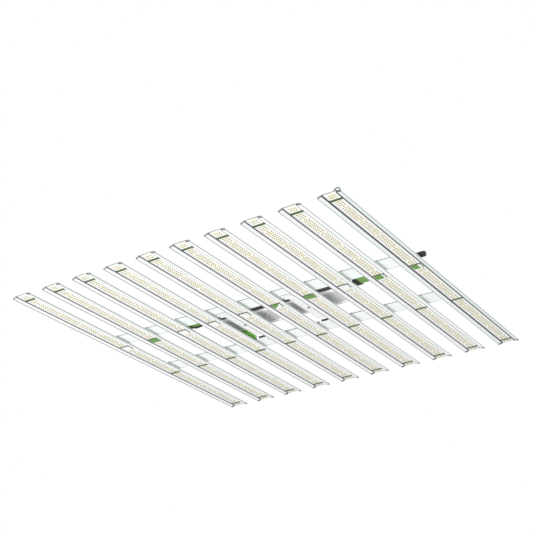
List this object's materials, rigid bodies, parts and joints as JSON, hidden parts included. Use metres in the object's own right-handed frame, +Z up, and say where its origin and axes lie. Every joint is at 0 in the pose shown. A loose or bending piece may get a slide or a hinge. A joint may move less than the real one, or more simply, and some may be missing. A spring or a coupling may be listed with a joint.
{
  "type": "led grow light",
  "caption": "Overhead LED grow light: parallel light bars under two cross rails, a central driver, a mains inlet and folding hanging loops",
  "frame": {"origin": "under the middle of the fixture's box, at the height of the light bars' lowest edges", "axes": "+X across the light bars towards the mains inlet, +Y along the bars, +Z up, away from the plants"},
  "size_m": [1.1122, 1.097, 0.0725],
  "materials": {
    "powder_white": "white powder coat with a faint orange-peel texture",
    "board_white": "white solder mask on a glass-fibre board",
    "plastic_white": "fine-grained moulded plastic",
    "driver_dark": "black anodised extrusion",
    "circuit_green": "green solder mask",
    "terminal_green": "moulded plastic",
    "copper_winding": "enamelled copper wire",
    "cable_black": "matt sheath",
    "loop_steel": "zinc-plated wire and strip"
  },
  "bodies": {
    "root": {"light_bar_01": "powder_white", "light_bar_02": "powder_white", "light_bar_03": "powder_white", "light_bar_04": "powder_white", "light_bar_05": "powder_white", "light_bar_06": "powder_white", "light_bar_07": "powder_white", "light_bar_08": "powder_white", "light_bar_09": "powder_white", "light_bar_10": "powder_white", "led_board_01": "board_white", "led_board_02": "board_white", "led_board_03": "board_white", "led_board_04": "board_white", "led_board_05": "board_white", "led_board_06": "board_white", "led_board_07": "board_white", "led_board_08": "board_white", "led_board_09": "board_white", "led_board_10": "board_white", "bar_connector_01": "plastic_white", "bar_connector_02": "plastic_white", "bar_connector_03": "plastic_white", "bar_connector_04": "plastic_white", "bar_connector_05": "plastic_white", "bar_connector_06": "plastic_white", "bar_connector_07": "plastic_white", "bar_connector_08": "plastic_white", "bar_connector_09": "plastic_white", "bar_connector_10": "plastic_white", "rail_near": "powder_white", "rail_near_lid": "powder_white", "rail_far": "powder_white", "rail_near_cap_left": "powder_white", "rail_near_cap_right": "powder_white", "rail_far_cap_left": "powder_white", "rail_far_cap_right": "powder_white", "driver_bracket_left": "powder_white", "driver_bracket_right": "powder_white", "driver_housing": "driver_dark", "driver_cap_left": "driver_dark", "driver_cap_right": "driver_dark", "driver_circuit_board": "circuit_green", "driver_transformer": "copper_winding", "output_terminal_block": "terminal_green", "input_terminal_block": "terminal_green", "junction_block": "terminal_green", "driver_output_lead": "cable_black", "driver_input_lead": "cable_black", "wiring_harness": "cable_black", "mains_inlet": "cable_black", "hanger_strap_near_left": "loop_steel", "hanger_strap_far_left": "loop_steel", "hanger_strap_near_right": "loop_steel", "hanger_strap_far_right": "loop_steel"},
    "hang_loop_near_left_body": {"hang_loop_near_left": "loop_steel"},
    "hang_loop_far_left_body": {"hang_loop_far_left": "loop_steel"},
    "hang_loop_near_right_body": {"hang_loop_near_right": "loop_steel"},
    "hang_loop_far_right_body": {"hang_loop_far_right": "loop_steel"},
    "inlet_cap_body": {"inlet_cap": "cable_black"}
  },
  "joints": [
    {"name": "near_left_loop_pivot", "type": "hinge", "parent": "root", "child": "hang_loop_near_left_body", "pos_m": [-0.53738, -0.5335, 0.0104], "axis": [1, 0, 0], "range_deg": [0, 180]},
    {"name": "far_left_loop_pivot", "type": "hinge", "parent": "root", "child": "hang_loop_far_left_body", "pos_m": [-0.53738, 0.5335, 0.0104], "axis": [-1, 0, 0], "range_deg": [0, 180]},
    {"name": "near_right_loop_pivot", "type": "hinge", "parent": "root", "child": "hang_loop_near_right_body", "pos_m": [0.52763, -0.5335, 0.0104], "axis": [1, 0, 0], "range_deg": [-90, 90]},
    {"name": "far_right_loop_pivot", "type": "hinge", "parent": "root", "child": "hang_loop_far_right_body", "pos_m": [0.52763, 0.5335, 0.0104], "axis": [-1, 0, 0], "range_deg": [0, 180]},
    {"name": "inlet_cap_turn", "type": "hinge", "parent": "root", "child": "inlet_cap_body", "pos_m": [0.54012, -0.1128, 0.018], "axis": [1, 0, 0], "range_deg": [0, 90]}
  ]
}
